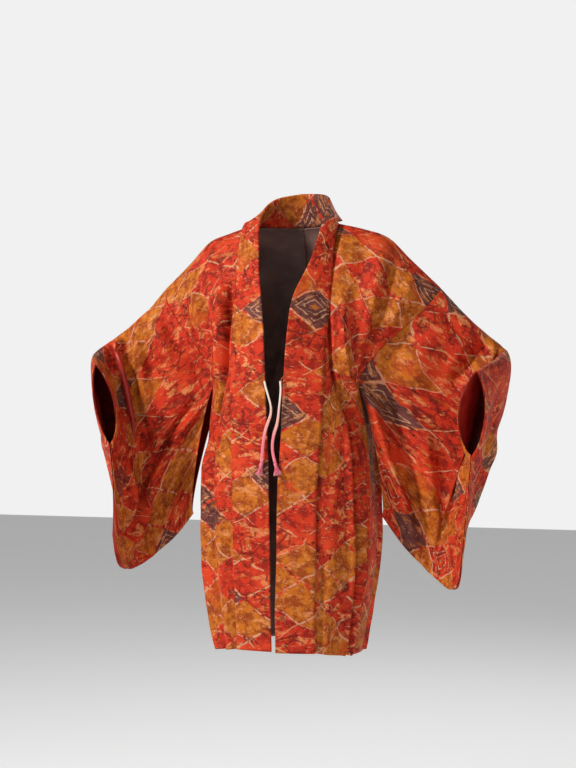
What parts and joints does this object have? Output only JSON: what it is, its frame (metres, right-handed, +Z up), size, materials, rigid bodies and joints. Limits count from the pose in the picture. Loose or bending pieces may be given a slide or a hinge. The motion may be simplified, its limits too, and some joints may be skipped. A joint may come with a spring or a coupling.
{
  "type": "haori jacket",
  "caption": "Thigh-length open-fronted haori jacket in its worn, hollow form, with hanging sleeves, a folded collar band and two short tasselled ties.",
  "frame": {"origin": "middle of the base of the neck, level with the fold of the shoulders, where the garment is held up on the wearer", "axes": "+Z up, the wearer faces -Y, and the wearer's left is +X"},
  "size_m": [0.7929, 0.3564, 0.8928],
  "materials": {
    "crepe": "matte printed silk crepe",
    "collar_crepe": "matte printed silk crepe, folded band",
    "body_lining": "smooth silk lining",
    "sleeve_lining": "smooth dark red silk lining",
    "tie_braid": "silk braid, cream to pink",
    "tassel_silk": "loose silk thread",
    "loop_cord": "crepe-covered cord"
  },
  "bodies": {
    "root": {"panel_left": "crepe", "panel_right": "crepe", "gusset_left": "crepe", "gusset_right": "crepe", "sleeve_left": "crepe", "sleeve_right": "crepe", "collar": "collar_crepe", "back_lining_left": "body_lining", "back_lining_right": "body_lining", "sleeve_lining_left": "sleeve_lining", "sleeve_lining_right": "sleeve_lining", "tie_left": "tie_braid", "tie_right": "tie_braid", "tassel_left": "tassel_silk", "tassel_right": "tassel_silk", "tie_loop_left": "loop_cord", "tie_loop_right": "loop_cord"}
  },
  "joints": []
}
